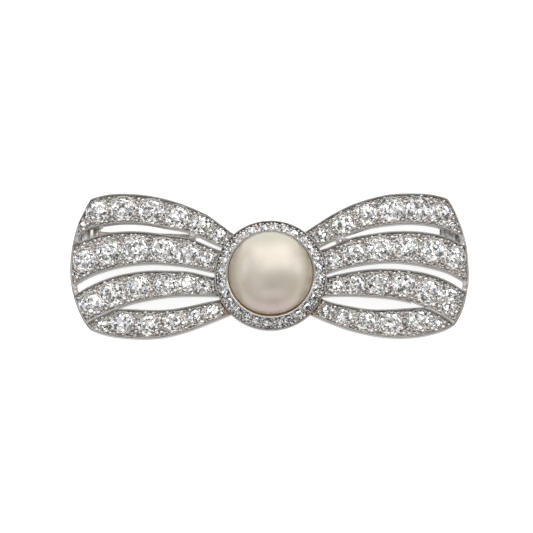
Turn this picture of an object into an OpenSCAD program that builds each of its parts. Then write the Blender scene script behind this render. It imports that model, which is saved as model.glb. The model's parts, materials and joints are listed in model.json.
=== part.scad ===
/* [Wings] */
// Length of the left wing, from the pearl's axis to its outer end
left_len = 30.4; // [28:0.1:33]
// Length of the right wing, from the pearl's axis to its outer end
right_len = 29.8; // [28:0.1:33]
// Height of the wings, from their lowest edge to their highest
wing_h = 22.5; // [21.5:0.1:25]
// Thickness of the wings, from the back to the top of the rims
wing_t = 1.9; // [1.7:0.05:2.3]
// Height of the upright edges of the wings, below the top of the rims
edge_t = 1.05; // [0.9:0.05:1.3]
// How far the back of the wings is stepped in from those edges
back_inset = 0.22; // [0.15:0.01:0.28]
// Angle by which each wing leans back towards its outer end
wing_tilt = 2; // [1:0.1:2.4]
// Width of the polished rims
rim_w = 0.25; // [0.2:0.01:0.32]
// Height of the rims above the field round the stones
rim_raise = 0.25; // [0.15:0.01:0.35]
// Width of the strip that closes the slots at the outer ends
end_w = 0.85; // [0.6:0.05:1]
// Rounding of the wings' outer corners
corner_r = 0.6; // [0.3:0.05:1]
// Rounding of the slots' narrow ends
slot_r = 0.08; // [0.04:0.01:0.12]

/* [Stones] */
// Diameter of the largest stones
main_d = 3.75; // [3.4:0.05:3.85]
// Diameter of the stones in the ring
ring_stone_d = 1.48; // [1.2:0.02:1.5]
// Number of stones in the ring
ring_stone_n = 28; // [24:1:28]
// Gap between a stone and its seat
seat_gap = 0.05; // [0.03:0.01:0.07]

/* [Pearl and cup] */
// Width of the pearl
pearl_d = 12.8; // [12:0.1:13]
// Height of the button-shaped pearl
pearl_h = 11; // [10:0.1:12.5]
// Gap between the pearl and its cup
pearl_gap = 0.05; // [0.03:0.01:0.08]
// Wall of the cup
cup_wall = 0.25; // [0.2:0.01:0.3]
// Thickness of the cup's closed back
cup_floor = 0.8; // [0.7:0.05:1.2]
// Diameter of the cup's flat foot
foot_d = 8.4; // [7:0.1:10]
// How far the cup's lip stands above the widest part of the pearl
lip_over = 0.2; // [0.1:0.05:0.4]

/* [Ring] */
// Outer diameter of the ring round the pearl
ring_d = 16.9; // [16.6:0.05:17.3]
// How far the cup's lip stands above the ring's outer edge
ring_rise = 1.1; // [0.8:0.05:1.4]
// How far the ring's outer edge stands above the wings' rims
ring_step = 0.4; // [0.2:0.05:0.6]
// How far the cup's lip stands above the sloping field of the ring
lip_raise = 0.5; // [0.3:0.05:0.6]
// Height of the ring's upright outer edge
ring_edge = 0.6; // [0.5:0.05:0.9]
// How far the ring narrows from that edge to its back
ring_taper = 0.45; // [0.3:0.05:0.55]

/* [Hinge] */
// Distance of the hinge from the left wing's outer end
hinge_in = 4; // [3.4:0.1:5.4]
// Distance of the hinge above the pearl's axis, along the brooch's height
pin_y = 7.5; // [7.2:0.1:7.8]
// Angle by which the pin runs down from the hinge to the catch
pin_slope = 1.5; // [0.8:0.1:1.8]
// Width of the pin's knuckle
knuckle_w = 1; // [0.8:0.05:1.2]
// Diameter of the pin's knuckle
knuckle_d = 1.4; // [1.2:0.05:1.5]
// Thickness of the ears of the hinge and the catch
ear_t = 0.5; // [0.4:0.05:0.6]
// Diameter of those ears round the pin's line
ear_d = 1.6; // [1.5:0.05:1.7]
// Gap beside moving pieces
side_gap = 0.06; // [0.04:0.01:0.1]
// Diameter of the hinge's rivet
rivet_d = 0.5; // [0.4:0.02:0.6]
// Diameter of a rivet head
rivet_head_d = 0.8; // [0.7:0.02:1]
// Height of a rivet head
rivet_head = 0.15; // [0.1:0.01:0.25]
// Height of the ears' underside above the surface that the brooch lies on
ear_lift = 0.05; // [0.02:0.01:0.2]
// Reach of the hinge and catch brackets towards the outer ends of the wings
bracket_out = 2.3; // [1.6:0.1:2.3]
// Reach of those brackets towards the pearl
bracket_in = 1.1; // [1.1:0.1:1.6]
// Width of those brackets, across the slot between the two upper ribbons
bracket_w = 3.4; // [3.2:0.1:3.6]

/* [Pin] */
// Diameter of the pin along its straight part
pin_d = 0.76; // [0.7:0.02:0.84]
// Diameter of the pin's thicker root, at the hinge
root_d = 0.96; // [0.9:0.02:1]
// Length over which that root narrows to the straight part
root_len = 1.4; // [1.2:0.1:2]
// Length over which the straight part narrows towards the catch
pin_taper = 7.8; // [6:0.1:12]
// Diameter of the pin where it lies in the catch
pin_end_d = 0.48; // [0.4:0.02:0.5]
// Length of the point
pin_point = 0.9; // [0.5:0.1:1.2]
// Diameter of the very tip
tip_d = 0.08; // [0.06:0.01:0.2]

/* [Catch] */
// Distance of the catch's middle from the right wing's outer end
catch_in = 3.2; // [2.8:0.1:4.2]
// Length of the turning sleeve
sleeve_len = 2.2; // [2:0.1:2.6]
// Outer diameter of the sleeve in its ears
sleeve_d = 1; // [0.96:0.01:1.04]
// Diameter of the sleeve's collar between the ears
collar_d = 1.36; // [1.2:0.02:1.5]
// Diameter of the hole that holds the pin
sleeve_bore = 0.6; // [0.56:0.01:0.64]
// Width of the mouth that lets the pin out
mouth_w = 0.56; // [0.54:0.01:0.6]
// Reach of the sleeve's thumb tab from the pin's line
tab_reach = 1.5; // [1.2:0.05:1.8]
// Thickness of the thumb tab
tab_t = 0.35; // [0.25:0.05:0.45]

/* [Hidden] */

// Running gap round a turning shaft, and the close gap round a fixed one
running = 0.03;
close_gap = 0.01;
// How far the brackets are let into the backs of the wings
solder = 0.25;

// Ribbon edges of the left wing. First column: distance from the pearl's axis, in percent of the
// wing's length. Then the heights of the upper and lower edge of each ribbon, from the top ribbon
// down, in percent of the wing's height and measured from the pearl's axis.
LEFT_EDGES = [
    [ 20, 30.8, 17.6,  15.2,   0.2,  -3.3, -14.4, -14.9, -26.4],
    [ 30, 41.0, 23.6,  20.6,   3.4,   0.0, -13.4, -17.3, -31.9],
    [ 40, 47.9, 30.1,  26.4,   6.5,   3.3, -13.2, -20.3, -37.0],
    [ 50, 52.7, 33.1,  28.4,   8.3,   4.1, -13.7, -22.4, -40.6],
    [ 60, 55.8, 35.8,  30.6,   8.9,   4.2, -15.7, -22.7, -42.1],
    [ 70, 57.2, 36.9,  31.4,   7.9,   2.6, -18.8, -22.0, -41.6],
    [ 80, 56.9, 36.1,  30.3,   5.0,  -0.7, -24.0, -22.2, -39.7],
    [ 90, 53.4, 33.0,  26.7,   0.0,  -6.5, -30.7, -29.7, -34.6],
    [100, 47.2, 25.4,  21.2,  -8.7, -14.9, -39.9, -38.5, -23.1]];

// The same for the right wing
RIGHT_EDGES = [
    [ 20, 32.9, 16.6,  15.2,  -2.8,  -4.3, -14.7, -12.2, -26.2],
    [ 30, 41.8, 23.6,  20.5,   2.7,   0.2, -13.4, -17.5, -31.8],
    [ 40, 48.8, 29.0,  26.4,   6.5,   3.2, -13.1, -20.4, -36.5],
    [ 50, 53.6, 33.4,  29.2,   8.9,   5.2, -13.6, -22.3, -39.6],
    [ 60, 56.7, 35.7,  31.1,  10.0,   5.5, -14.7, -22.2, -41.3],
    [ 70, 57.5, 36.6,  31.5,   9.1,   4.6, -17.1, -21.3, -41.2],
    [ 80, 57.1, 35.6,  30.4,   6.7,   2.1, -22.0, -21.2, -39.1],
    [ 90, 53.8, 32.0,  27.1,   2.7,  -3.0, -29.2, -28.2, -34.4],
    [100, 46.5, 24.7,  20.1,  -5.2, -11.5, -39.3, -37.9, -24.0]];

// Outer end of each wing: height in percent of the wing's height, then the reach of the left wing
// and of the right wing there, in percent of their lengths
ENDS = [
    [-40, 86.4, 87.4],
    [-30, 92.0, 93.7],
    [-20, 95.4, 97.1],
    [-10, 97.7, 98.9],
    [  0, 98.8, 99.9],
    [ 10, 98.9, 99.6],
    [ 20, 98.2, 99.0],
    [ 30, 96.7, 97.4],
    [ 40, 94.3, 94.8],
    [ 50, 90.5, 91.4],
    [ 60, 86.8, 86.2]];

// Stones of the left wing: ribbon, distance from the pearl's axis in percent of the wing's length,
// place across the ribbon in percent from its lower edge, diameter in percent of the largest stone
LEFT_STONES = [
    [1, 86, 54, 85], [1, 73, 53, 94], [1, 59, 51, 96], [1, 46, 52, 92], [1, 34, 55, 78],
    [1, 25, 54, 60], [1, 93, 26, 28],
    [2, 92, 51, 88], [2, 80, 49, 96], [2, 67, 49, 100], [2, 53, 51, 98], [2, 41, 47, 86],
    [2, 31, 47, 64], [2, 96, 27, 20],
    [3, 89, 51, 88], [3, 78, 51, 96], [3, 65, 53, 92], [3, 52, 51, 88], [3, 41, 51, 78],
    [3, 32, 48, 60],
    [4, 83, 46, 48], [4, 73, 55, 84], [4, 60, 51, 86], [4, 47, 53, 80], [4, 36, 51, 68],
    [4, 28, 53, 60]];

// The same for the right wing
RIGHT_STONES = [
    [1, 86, 49, 84], [1, 74, 51, 98], [1, 61, 53, 94], [1, 48, 56, 84], [1, 37, 49, 78],
    [1, 26, 47, 63], [1, 92, 24, 32],
    [2, 93, 54, 83], [2, 82, 55, 92], [2, 68, 49, 94], [2, 55, 50, 94], [2, 42, 47, 83],
    [2, 32, 46, 64],
    [3, 91, 71, 52], [3, 89, 30, 54], [3, 80, 49, 98], [3, 67, 55, 88], [3, 54, 50, 84],
    [3, 42, 50, 78], [3, 33, 48, 56],
    [4, 84, 46, 40], [4, 75, 58, 82], [4, 60, 52, 90], [4, 48, 53, 82], [4, 37, 54, 64],
    [4, 28, 53, 58]];

// Stretch where the two upper ribbons touch, from and to in percent of the wing's length
LEFT_WEB = [36.8, 40.3];
RIGHT_WEB = [32.8, 37.4];

// Number of ribbons of a wing
ribbon_n = 4;
// First and last place on the outlines along a wing, and the step between places, in percent of its
// length; then the step up its outer end, in percent of its height
first_at = 10;
last_at = 100;
along_step = 2.5;
end_step = 5;
// Where the strip that closes the slots may begin, in percent of the wing's length
strip_from = 90;
// Turn of the first stone of the ring, in steps of one stone
ring_phase = 0.7;
// Turn of each stone of a ribbon against the stone before it, in degrees
stone_turn = 17;

// Parts of an old-cut stone, as shares of its diameter
table_r = 0.27;
crown_h = 0.17;
girdle_h = 0.02;
pavilion_h = 0.42;
star_r = 0.40;
main_r = 0.30;
culet_r = 0.045;
// Height at which a stone's girdle sits in the field, and its ledge and through hole
sink = 0.05;
ledge = 0.13;
through_r = 0.36;

// Heights above the surface that the brooch lies on, the wings' at the pearl's axis
pearl_z = cup_floor + pearl_gap + pearl_h / 2;
lip_z = pearl_z + lip_over;
ring_z = lip_z - ring_rise;
wing_z = ring_z - ring_step;
back_z = wing_z - wing_t;
field_t = wing_t - rim_raise;
pin_z = ear_lift + ear_d / 2;

// Distance of the hinge from the pearl's axis, then distances from the hinge along the pin: to the
// catch's middle, and to the start and the end of the stretch that narrows towards the catch
hinge_x = left_len - hinge_in;
catch_at = hinge_x + right_len - catch_in;
taper_end = catch_at - sleeve_len / 2 - side_gap;
pin_straight = taper_end - pin_taper;

// Radii of the ring and the cup
ring_r = ring_d / 2;
lip_r = pearl_d / 2 + pearl_gap + cup_wall;
slope_out = ring_r - rim_w;
slope_mid = (slope_out + lip_r) / 2;
slope_rise = ring_rise + rim_raise - lip_raise;
slope_z = ring_z - rim_raise + slope_rise / 2;
slope_angle = atan(slope_rise / (slope_out - lip_r));
inner_r = (lip_r + ring_r) / 2;
cup_steps = 14;

smooth = 96;

// Value of one column of a table between its rows, on a smooth curve through them
function between(table, col, at) =
    let (u = (at - table[0][0]) / (table[1][0] - table[0][0]),
         i = min(max(floor(u), 0), len(table) - 2),
         t = u - i,
         b = table[i][col],
         c = table[i + 1][col],
         a = i > 0 ? table[i - 1][col] : 2 * b - c,
         d = i + 2 < len(table) ? table[i + 2][col] : 2 * c - b)
    b + t * (c - a + t * (2 * a - 5 * b + 4 * c - d + t * (3 * (b - c) + d - a))) / 2;

// Upper and lower edge of a ribbon at a share of the wing's length, in millimetres
function upper(edges, ribbon, at) =
    wing_h / 100 * (ribbon == 1 ? between(edges, 1, at)
        : min(between(edges, 2 * ribbon - 1, at), between(edges, 2 * ribbon - 2, at)));
function lower(edges, ribbon, at) = wing_h / 100 * between(edges, 2 * ribbon, at);

// Height of a stone's middle on a wing, in millimetres from the pearl's axis
function stone_height(edges, stone) =
    lower(edges, stone[0], stone[1]) * (1 - stone[2] / 100)
        + upper(edges, stone[0], stone[1]) * stone[2] / 100;

// Points on the pearl's outline grown by a margin, from one angle below its middle to another
function pearl_curve(margin, from, to) =
    [for (i = [0:cup_steps])
        let (a = from + (to - from) * i / cup_steps)
        [(pearl_d / 2 + margin) * cos(a), pearl_z + (pearl_h / 2 + margin) * sin(a)]];

// Outline from the upper edge of one ribbon to the lower edge of another, not yet trimmed at its ends,
// with the wing towards +X
module band(edges, length, top, bottom)
    polygon(concat(
        [for (at = [first_at:along_step:last_at]) [length * at / 100, upper(edges, top, at)]],
        [for (at = [last_at:-along_step:first_at]) [length * at / 100, lower(edges, bottom, at)]]));

// Everything inside the outer end of a wing
module end_shape(length, col)
    polygon(concat(
        [[0, ENDS[len(ENDS) - 1][0] * wing_h / 100], [0, -wing_h],
         [length * ENDS[0][col] / 100, -wing_h]],
        [for (h = [ENDS[0][0]:end_step:ENDS[len(ENDS) - 1][0]])
            [length * between(ENDS, col, h) / 100, h * wing_h / 100]]));

// Outline of a wing with its slots filled
module wing_outline(edges, length, col)
    offset(r = corner_r, $fn = 32)
        offset(delta = -corner_r)
            intersection() {
                band(edges, length, 1, ribbon_n);
                end_shape(length, col);
            }

// One ribbon trimmed to the wing
module ribbon_outline(edges, length, col, ribbon)
    intersection() {
        band(edges, length, ribbon, ribbon);
        wing_outline(edges, length, col);
    }

// Outline of the wing's metal with the slots open
module wing_metal(edges, length, col, web)
    offset(r = -slot_r, $fn = 16)
        offset(delta = slot_r)
            difference() {
                union() {
                    for (ribbon = [1:ribbon_n])
                        ribbon_outline(edges, length, col, ribbon);
                    difference() {
                        wing_outline(edges, length, col);
                        offset(delta = -end_w)
                            wing_outline(edges, length, col);
                        translate([0, -wing_h])
                            square([length * strip_from / 100, 2 * wing_h]);
                    }
                    polygon([[length * web[0] / 100, lower(edges, 1, web[0]) + rim_w],
                             [length * web[1] / 100, lower(edges, 1, web[1]) + rim_w],
                             [length * web[1] / 100, upper(edges, 2, web[1]) - rim_w],
                             [length * web[0] / 100, upper(edges, 2, web[0]) - rim_w]]);
                }
                circle(r = inner_r, $fn = smooth);
            }

// Places its children in a wing's own frame, which starts at its back and leans with it
module on_wing(side)
    translate([0, 0, back_z])
        rotate([0, side * wing_tilt, 0])
            children();

// Hole for one stone: a wide seat down to a ledge, and a narrower hole below it
module seat(d, depth) {
    translate([0, 0, -sink - ledge * d - seat_gap])
        cylinder(d = d + 2 * seat_gap, h = d, $fn = smooth);
    translate([0, 0, -depth])
        cylinder(r = through_r * d, h = depth, $fn = smooth);
}

// Plate of one wing with its rims, its sunk field and its seats
module wing(edges, length, side, col, web, stones)
    on_wing(side)
        difference() {
            mirror([side < 0 ? 1 : 0, 0, 0]) {
                translate([0, 0, wing_t - edge_t])
                    linear_extrude(edge_t)
                        wing_metal(edges, length, col, web);
                linear_extrude(wing_t - edge_t)
                    offset(delta = -back_inset)
                        wing_metal(edges, length, col, web);
            }
            mirror([side < 0 ? 1 : 0, 0, 0])
                translate([0, 0, field_t])
                    linear_extrude(wing_t)
                        for (ribbon = [1:ribbon_n])
                            offset(delta = -rim_w)
                                ribbon_outline(edges, length, col, ribbon);
            for (stone = stones)
                translate([side * length * stone[1] / 100, stone_height(edges, stone), field_t])
                    seat(main_d * stone[3] / 100, 2 * wing_t);
        }

// The cup with its closed foot and the sloping ring round its lip
module cup_and_ring() {
    foot_angle = -acos(foot_d / 2 / lip_r);
    ring_angle = asin((back_z - pearl_z) / (pearl_h / 2 + pearl_gap + cup_wall));
    difference() {
        rotate_extrude($fn = smooth)
            polygon(concat(
                [[0, 0], [foot_d / 2, 0]],
                pearl_curve(pearl_gap + cup_wall, foot_angle, ring_angle),
                [[ring_r - ring_taper, back_z], [ring_r, ring_z - ring_edge], [ring_r, ring_z],
                 [slope_out, ring_z], [slope_out, ring_z - rim_raise],
                 [lip_r, lip_z - lip_raise], [lip_r, lip_z], [lip_r - cup_wall, lip_z]],
                pearl_curve(pearl_gap, 0, -90)));
        for (i = [0:ring_stone_n - 1])
            at_ring_stone(i)
                seat(ring_stone_d, ring_stone_d / 2);
    }
}

// Places its children on the slope of the ring at the place of one of its stones
module at_ring_stone(i)
    rotate([0, 0, 360 * (i + ring_phase) / ring_stone_n])
        translate([slope_mid, 0, slope_z])
            rotate([0, slope_angle, 0])
                children();

// Outline of an ear round the pin's line, reaching up to a bracket
module ear_outline(reach) {
    circle(d = ear_d, $fn = smooth);
    translate([-ear_d / 2, 0])
        square([ear_d, reach]);
}

// Places its children on the pin's line, at a distance from the hinge, with X along the pin
module on_pin_line(at)
    translate([-hinge_x, pin_y, 0])
        rotate([0, 0, -pin_slope])
            translate([at, 0, 0])
                children();

// Plate soldered under a wing, across the slot between its two upper ribbons
module bracket_plate(x, from, to) {
    low = pin_z + ear_d / 2 + side_gap;
    high = back_z - x * tan(wing_tilt) + solder;
    translate([from, -bracket_w / 2, low])
        cube([to - from, bracket_w, high - low]);
}

// Bracket of the hinge: a plate with two ears that hold the rivet, cut open above the knuckle
module hinge_bracket()
    on_pin_line(0) {
        gap = knuckle_w + 2 * side_gap;
        difference() {
            bracket_plate(hinge_x, -bracket_out, bracket_in);
            translate([-knuckle_d / 2 - side_gap, -gap / 2, 0])
                cube([bracket_out + bracket_in, gap, back_z]);
        }
        difference() {
            for (side = [-1, 1])
                translate([0, side * (gap + ear_t) / 2 + ear_t / 2, pin_z])
                    rotate([90, 0, 0])
                        linear_extrude(ear_t)
                            ear_outline(ear_d / 2 + 2 * side_gap);
            translate([0, 0, pin_z])
                rotate([90, 0, 0])
                    cylinder(d = rivet_d + 2 * close_gap, h = 3 * knuckle_w, center = true, $fn = smooth);
        }
    }

// Bracket of the catch: a plate with two ears that are open below, to let the pin out
module catch_bracket()
    on_pin_line(catch_at) {
        between_ears = sleeve_len - 2 * ear_t;
        difference() {
            bracket_plate(catch_at - hinge_x, -bracket_in, bracket_out);
            translate([-between_ears / 2, -collar_d / 2, 0])
                cube([between_ears, collar_d, back_z]);
        }
        difference() {
            for (side = [-1, 1])
                translate([side * (sleeve_len - ear_t) / 2 - ear_t / 2, 0, pin_z])
                    rotate([90, 0, 90])
                        linear_extrude(ear_t)
                            ear_outline(ear_d / 2 + 2 * side_gap);
            translate([0, 0, pin_z])
                rotate([0, 90, 0])
                    cylinder(d = sleeve_d + 2 * running, h = 2 * sleeve_len, center = true, $fn = smooth);
            translate([-sleeve_len, -mouth_w / 2, pin_z - ear_d])
                cube([2 * sleeve_len, mouth_w, ear_d]);
        }
    }

module bow_frame()
    color("silver") {
        wing(LEFT_EDGES, left_len, -1, 1, LEFT_WEB, LEFT_STONES);
        wing(RIGHT_EDGES, right_len, 1, 2, RIGHT_WEB, RIGHT_STONES);
        cup_and_ring();
        hinge_bracket();
        catch_bracket();
    }

module pearl()
    color("antiquewhite")
        translate([0, 0, pearl_z])
            scale([1, 1, pearl_h / pearl_d])
                sphere(d = pearl_d, $fn = smooth);

// Corner points of an old-cut stone of a diameter, with its girdle at the origin
function stone_points(d) =
    let (half = girdle_h * d / 2,
         c = cos(22.5),
         star_z = crown_h * d + (star_r * c - table_r) / (0.5 - table_r) * (half - crown_h * d),
         main_z = -pavilion_h * d + (main_r * c - culet_r) / (0.5 - culet_r) * (pavilion_h * d - half))
    concat(
        [for (i = [0:7]) [table_r * d * cos(45 * i), table_r * d * sin(45 * i), crown_h * d]],
        [for (i = [0:7]) [star_r * d * cos(45 * i + 22.5), star_r * d * sin(45 * i + 22.5), star_z]],
        [for (i = [0:15]) [d / 2 * cos(22.5 * i), d / 2 * sin(22.5 * i), half]],
        [for (i = [0:15]) [d / 2 * cos(22.5 * i), d / 2 * sin(22.5 * i), -half]],
        [for (i = [0:7]) [main_r * d * cos(45 * i + 22.5), main_r * d * sin(45 * i + 22.5), main_z]],
        [for (i = [0:7]) [culet_r * d * cos(45 * i), culet_r * d * sin(45 * i), -pavilion_h * d]]);

// Number of corner points of one stone
stone_corners = 64;

// Facets of an old-cut stone whose first corner point has a number
function stone_facets(first) =
    [for (face = concat(
        [[for (i = [7:-1:0]) i]],
        [for (i = [0:7]) [i, (i + 1) % 8, 8 + i]],
        [for (i = [0:7]) [i, 8 + i, 16 + 2 * i, 8 + (i + 7) % 8]],
        [for (i = [0:7]) [8 + i, 17 + 2 * i, 16 + 2 * i]],
        [for (i = [0:7]) [8 + i, 16 + (2 * i + 2) % 16, 17 + 2 * i]],
        [for (i = [0:15]) [16 + i, 16 + (i + 1) % 16, 32 + (i + 1) % 16, 32 + i]],
        [for (i = [0:7]) [48 + i, 32 + 2 * i, 33 + 2 * i]],
        [for (i = [0:7]) [48 + i, 33 + 2 * i, 32 + (2 * i + 2) % 16]],
        [for (i = [0:7]) [56 + i, 48 + (i + 7) % 8, 32 + 2 * i, 48 + i]],
        [for (i = [0:7]) [56 + i, 48 + i, 56 + (i + 1) % 8]],
        [[for (i = [0:7]) 56 + i]]))
        [for (corner = face) first + corner]];

// A point turned about Y by a tilt, about Z by a turn, and moved
function placed(p, tilt, turn, to) =
    let (x = p[0] * cos(tilt) + p[2] * sin(tilt),
         z = p[2] * cos(tilt) - p[0] * sin(tilt))
    [to[0] + x * cos(turn) - p[1] * sin(turn), to[1] + x * sin(turn) + p[1] * cos(turn), to[2] + z];

// Every stone of one ribbon, as separate solids, no two beside each other turned alike
module stone_row(edges, length, side, stones, ribbon) {
    row = [for (stone = stones) if (stone[0] == ribbon) stone];
    color("white")
        on_wing(side)
            polyhedron(
                points = [for (i = [0:len(row) - 1])
                    for (p = stone_points(main_d * row[i][3] / 100))
                        placed(p, 0, stone_turn * (i + ribbon), [side * length * row[i][1] / 100,
                            stone_height(edges, row[i]), field_t - sink])],
                faces = [for (i = [0:len(row) - 1])
                    for (face = stone_facets(i * stone_corners)) face]);
}

// The small stones on the slope of the ring, as separate solids
module ring_stones() {
    r = slope_mid - sink * sin(slope_angle);
    z = slope_z - sink * cos(slope_angle);
    color("white")
        polyhedron(
            points = [for (i = [0:ring_stone_n - 1])
                let (turn = 360 * (i + ring_phase) / ring_stone_n)
                for (p = stone_points(ring_stone_d))
                    placed(p, slope_angle, turn, [r * cos(turn), r * sin(turn), z])],
            faces = [for (i = [0:ring_stone_n - 1])
                for (face = stone_facets(i * stone_corners)) face]);
}

module hinge_rivet()
    color("lightsteelblue")
        on_pin_line(0)
            translate([0, 0, pin_z])
                rotate([90, 0, 0]) {
                    span = knuckle_w / 2 + side_gap + ear_t + close_gap;
                    cylinder(d = rivet_d, h = 2 * span, center = true, $fn = smooth);
                    for (side = [0, 1])
                        mirror([0, 0, side])
                            translate([0, 0, span])
                                cylinder(d = rivet_head_d, h = rivet_head, $fn = smooth);
                }

module pin_stem()
    color("goldenrod")
        on_pin_line(0)
            translate([0, 0, pin_z])
                difference() {
                    union() {
                        rotate([90, 0, 0])
                            cylinder(d = knuckle_d, h = knuckle_w, center = true, $fn = smooth);
                        rotate([0, 90, 0]) {
                            cylinder(d1 = root_d, d2 = pin_d, h = root_len, $fn = smooth);
                            cylinder(d = pin_d, h = pin_straight, $fn = smooth);
                            translate([0, 0, pin_straight])
                                cylinder(d1 = pin_d, d2 = pin_end_d, h = pin_taper, $fn = smooth);
                            translate([0, 0, taper_end])
                                cylinder(d = pin_end_d, h = sleeve_len + 2 * side_gap, $fn = smooth);
                            translate([0, 0, taper_end + sleeve_len + 2 * side_gap])
                                cylinder(d1 = pin_end_d, d2 = tip_d, h = pin_point, $fn = smooth);
                        }
                    }
                    rotate([90, 0, 0])
                        cylinder(d = rivet_d + 2 * running, h = 2 * knuckle_w, center = true, $fn = smooth);
                }

module catch_sleeve() {
    collar_len = sleeve_len - 2 * ear_t - 2 * side_gap;
    color("gainsboro")
        on_pin_line(catch_at)
            translate([0, 0, pin_z])
                difference() {
                    union() {
                        rotate([0, 90, 0])
                            cylinder(d = sleeve_d, h = sleeve_len, center = true, $fn = smooth);
                        rotate([0, 90, 0])
                            cylinder(d = collar_d, h = collar_len, center = true, $fn = smooth);
                        translate([-collar_len / 2, 0, -tab_t / 2])
                            cube([collar_len, tab_reach, tab_t]);
                    }
                    rotate([0, 90, 0])
                        cylinder(d = sleeve_bore, h = 2 * sleeve_len, center = true, $fn = smooth);
                    translate([-sleeve_len, -mouth_w / 2, -collar_d])
                        cube([2 * sleeve_len, mouth_w, collar_d]);
                }
}

bow_frame();
pearl();
ring_stones();
stone_row(LEFT_EDGES, left_len, -1, LEFT_STONES, 1);  // left_stones_1
stone_row(LEFT_EDGES, left_len, -1, LEFT_STONES, 2);  // left_stones_2
stone_row(LEFT_EDGES, left_len, -1, LEFT_STONES, 3);  // left_stones_3
stone_row(LEFT_EDGES, left_len, -1, LEFT_STONES, 4);  // left_stones_4
stone_row(RIGHT_EDGES, right_len, 1, RIGHT_STONES, 1);  // right_stones_1
stone_row(RIGHT_EDGES, right_len, 1, RIGHT_STONES, 2);  // right_stones_2
stone_row(RIGHT_EDGES, right_len, 1, RIGHT_STONES, 3);  // right_stones_3
stone_row(RIGHT_EDGES, right_len, 1, RIGHT_STONES, 4);  // right_stones_4
hinge_rivet();
pin_stem();
catch_sleeve();
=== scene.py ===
import json
import math
import random

import bmesh
import bpy
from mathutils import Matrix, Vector
from mathutils.bvhtree import BVHTree

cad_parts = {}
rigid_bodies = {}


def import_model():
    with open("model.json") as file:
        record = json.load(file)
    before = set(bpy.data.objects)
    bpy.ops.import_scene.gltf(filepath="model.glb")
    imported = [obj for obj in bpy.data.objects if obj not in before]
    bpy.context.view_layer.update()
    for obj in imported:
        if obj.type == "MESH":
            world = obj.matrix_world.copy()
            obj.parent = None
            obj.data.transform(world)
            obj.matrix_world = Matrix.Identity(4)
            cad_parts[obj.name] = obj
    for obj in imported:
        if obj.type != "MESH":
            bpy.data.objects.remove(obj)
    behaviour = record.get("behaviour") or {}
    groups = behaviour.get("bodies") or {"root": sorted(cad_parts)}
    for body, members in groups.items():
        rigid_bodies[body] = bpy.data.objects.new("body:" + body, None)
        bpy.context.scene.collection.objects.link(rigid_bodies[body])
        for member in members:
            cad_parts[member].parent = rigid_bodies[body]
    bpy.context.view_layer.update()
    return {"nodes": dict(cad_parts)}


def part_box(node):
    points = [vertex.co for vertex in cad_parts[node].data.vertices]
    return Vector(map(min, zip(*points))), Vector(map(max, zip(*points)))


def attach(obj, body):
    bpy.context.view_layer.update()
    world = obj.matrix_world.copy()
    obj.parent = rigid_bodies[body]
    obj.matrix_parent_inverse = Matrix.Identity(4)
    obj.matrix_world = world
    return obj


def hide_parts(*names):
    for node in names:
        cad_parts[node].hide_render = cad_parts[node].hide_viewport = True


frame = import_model()

bl_info = {
    "name": "Bow Brooch",
    "version": (1, 0, 0),
    "blender": (4, 5, 0),
    "location": "View3D > Sidebar > Brooch",
    "description": "Dresses a bow brooch with its pearl, setting grains, polished metal and stones",
    "category": "Object",
}

MM = 0.001

# The metal body's own shape, in millimetres, as the solids have it. Heights on a wing count from its
# back, and the ring's places count from the pearl's axis.
WING_BACK = 3.15
WING_LEAN = math.radians(2.0)
WING_FIELD = 1.65
WING_RIM = 1.90
RING_SLOPE = math.radians(29.5)
RING_LIP = 6.70
RING_FIELD_END = 8.20
RING_END = 8.45
# The lip's flat top over the pearl's middle, and the gap between a stone and its seat
LIP_OVER_MIDDLE = 0.2
SEAT_GAP = 0.05
# The recesses of the hinge and the catch lie at the outer ends of the slot between the upper ribbons
RECESS_START = 25.2
RECESS_MIDDLE = 6.5
RECESS_HALF = 1.7

# What this script leaves or adds, in millimetres: the dark joint round the pearl, the space between a
# stone and the bright-cut edge of its seat, and the breadth of the lip's rounded edge
PEARL_JOINT = 0.06
SEAT_EDGE_GAP = 0.06
LIP_BREADTH = 0.24
# The radius of an average stone of the wings, whose seat edge has the thickness that the sizes give
AVERAGE_STONE = 1.5

# The studio, in metres: the floor, the bank of panels overhead, the softboxes and the camera
FLOOR_WIDTH = 1.4
SWEEP_STEPS = 6
SWEEP_STEP = 0.06
LIGHT_DISTANCE = 0.55
BANK_COLUMNS, BANK_ROWS = 7, 6
BANK_PITCH = (0.135, 0.12)
BANK_PANEL = (0.1, 0.09)
CAMERA_DISTANCE = 0.8
SEEN_WIDTH = 0.07998

WING_ROWS = {side: [f"{side}_stones_{row}" for row in range(1, 5)] for side in ("left", "right")}


def linear(code):
    """Turns an sRGB hex colour into linear red, green and blue."""
    parts = [int(code[i:i + 2], 16) / 255 for i in (1, 3, 5)]
    return tuple(p / 12.92 if p <= 0.04045 else ((p + 0.055) / 1.055) ** 2.4 for p in parts)


def solid(colour):
    """A colour with full alpha, for a shader's socket."""
    return (*colour, 1.0)


# Inputs that go by number are in Blender's order. Map Range: 0 the value, 1 and 2 the range that it
# comes from, 3 and 4 the range that it becomes. Math: 0, 1 and 2. Mix: 2 and 3 for two numbers, and
# 6 and 7 for two colours, which come out at output 2.
def add(tree, kind, inputs=None, **settings):
    """Adds a node. Each input is a number, a colour, a node's output, or a node for its first output."""
    node = tree.nodes.new(kind)
    for name, value in settings.items():
        setattr(node, name, value)
    for name, value in (inputs or {}).items():
        if isinstance(value, bpy.types.Node):
            value = value.outputs[0]
        if isinstance(value, bpy.types.NodeSocket):
            tree.links.new(value, node.inputs[name])
        else:
            node.inputs[name].default_value = value
    return node


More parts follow.
